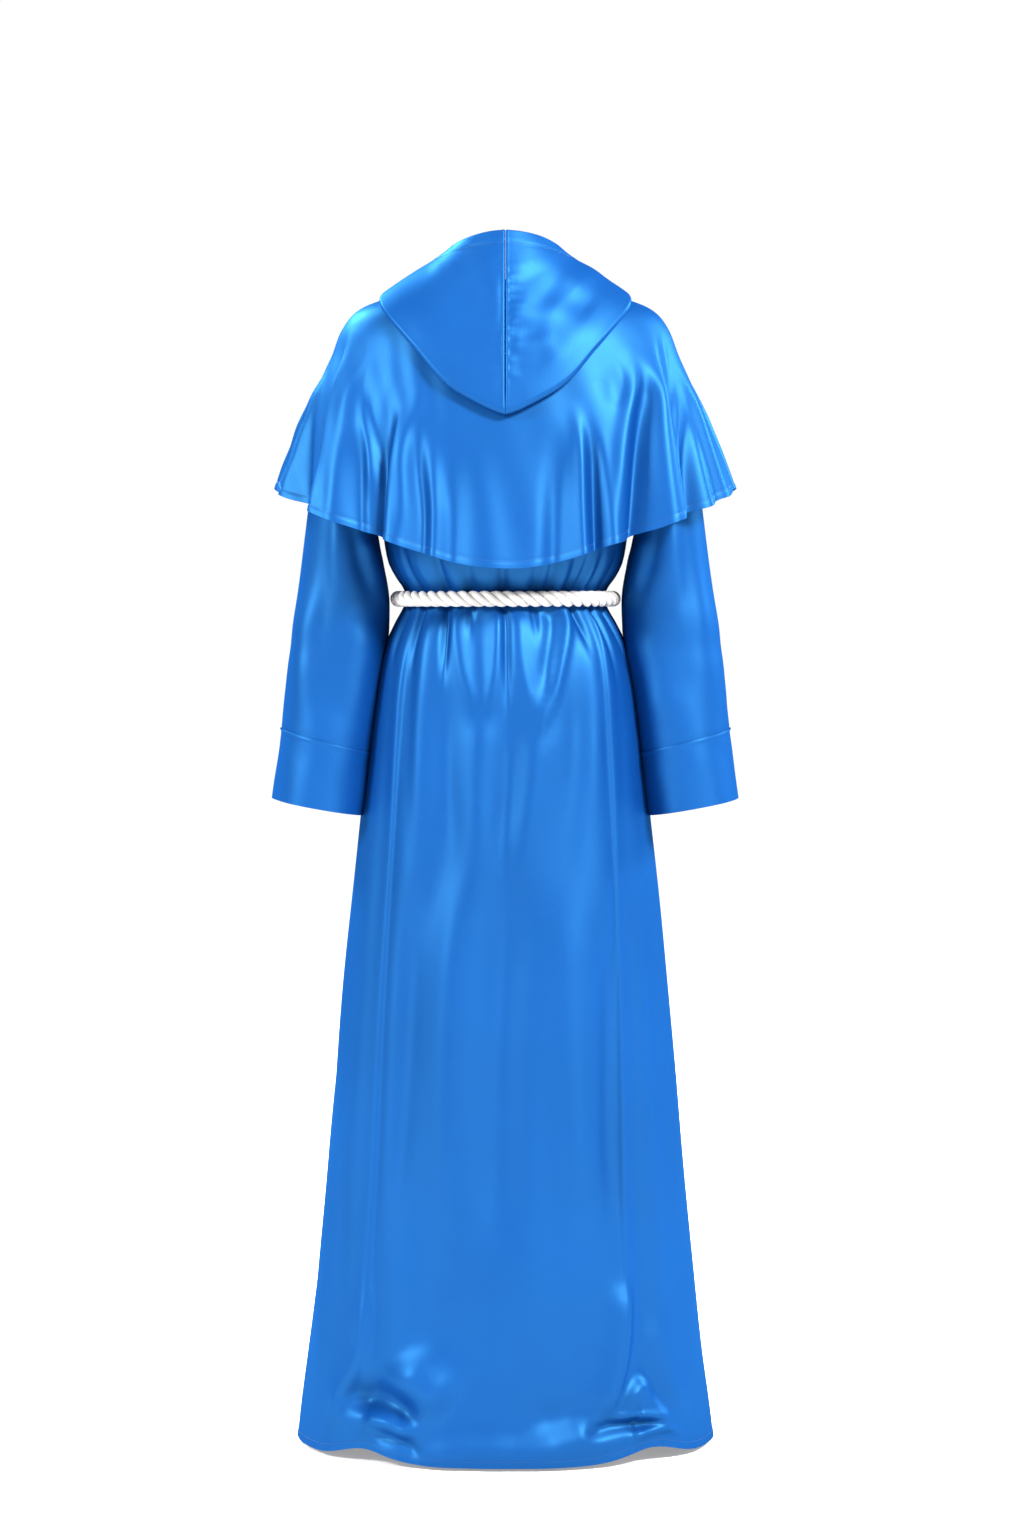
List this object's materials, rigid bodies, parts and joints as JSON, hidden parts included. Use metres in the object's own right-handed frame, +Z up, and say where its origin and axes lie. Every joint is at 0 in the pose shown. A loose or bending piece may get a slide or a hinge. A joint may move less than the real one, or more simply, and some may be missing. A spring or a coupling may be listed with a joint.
{
  "type": "monk costume robe with hooded shoulder cape and rope belt",
  "caption": "Full-length long-sleeved satin robe under a shoulder cape with a pointed hood thrown back, tied with a twisted rope belt, in its hollow worn form.",
  "frame": {"origin": "the middle of the neckline, where the costume rests on the shoulders of who wears it", "axes": "+Z up, +Y to the front, +X to the right as seen from behind"},
  "size_m": [0.596, 0.3966, 1.5372],
  "materials": {
    "satin": "blue satin with a soft sheen",
    "rope": "off-white twisted cord"
  },
  "bodies": {
    "root": {"robe_back": "satin", "robe_front": "satin", "sleeve_left": "satin", "sleeve_right": "satin", "cuff_left": "satin", "cuff_right": "satin", "cape_back": "satin", "cape_front": "satin", "hood_left": "satin", "hood_right": "satin", "belt_loop": "rope", "belt_knot": "rope", "belt_tail_left": "rope", "belt_tail_right": "rope", "belt_tip_left": "rope", "belt_tip_right": "rope"}
  },
  "joints": []
}
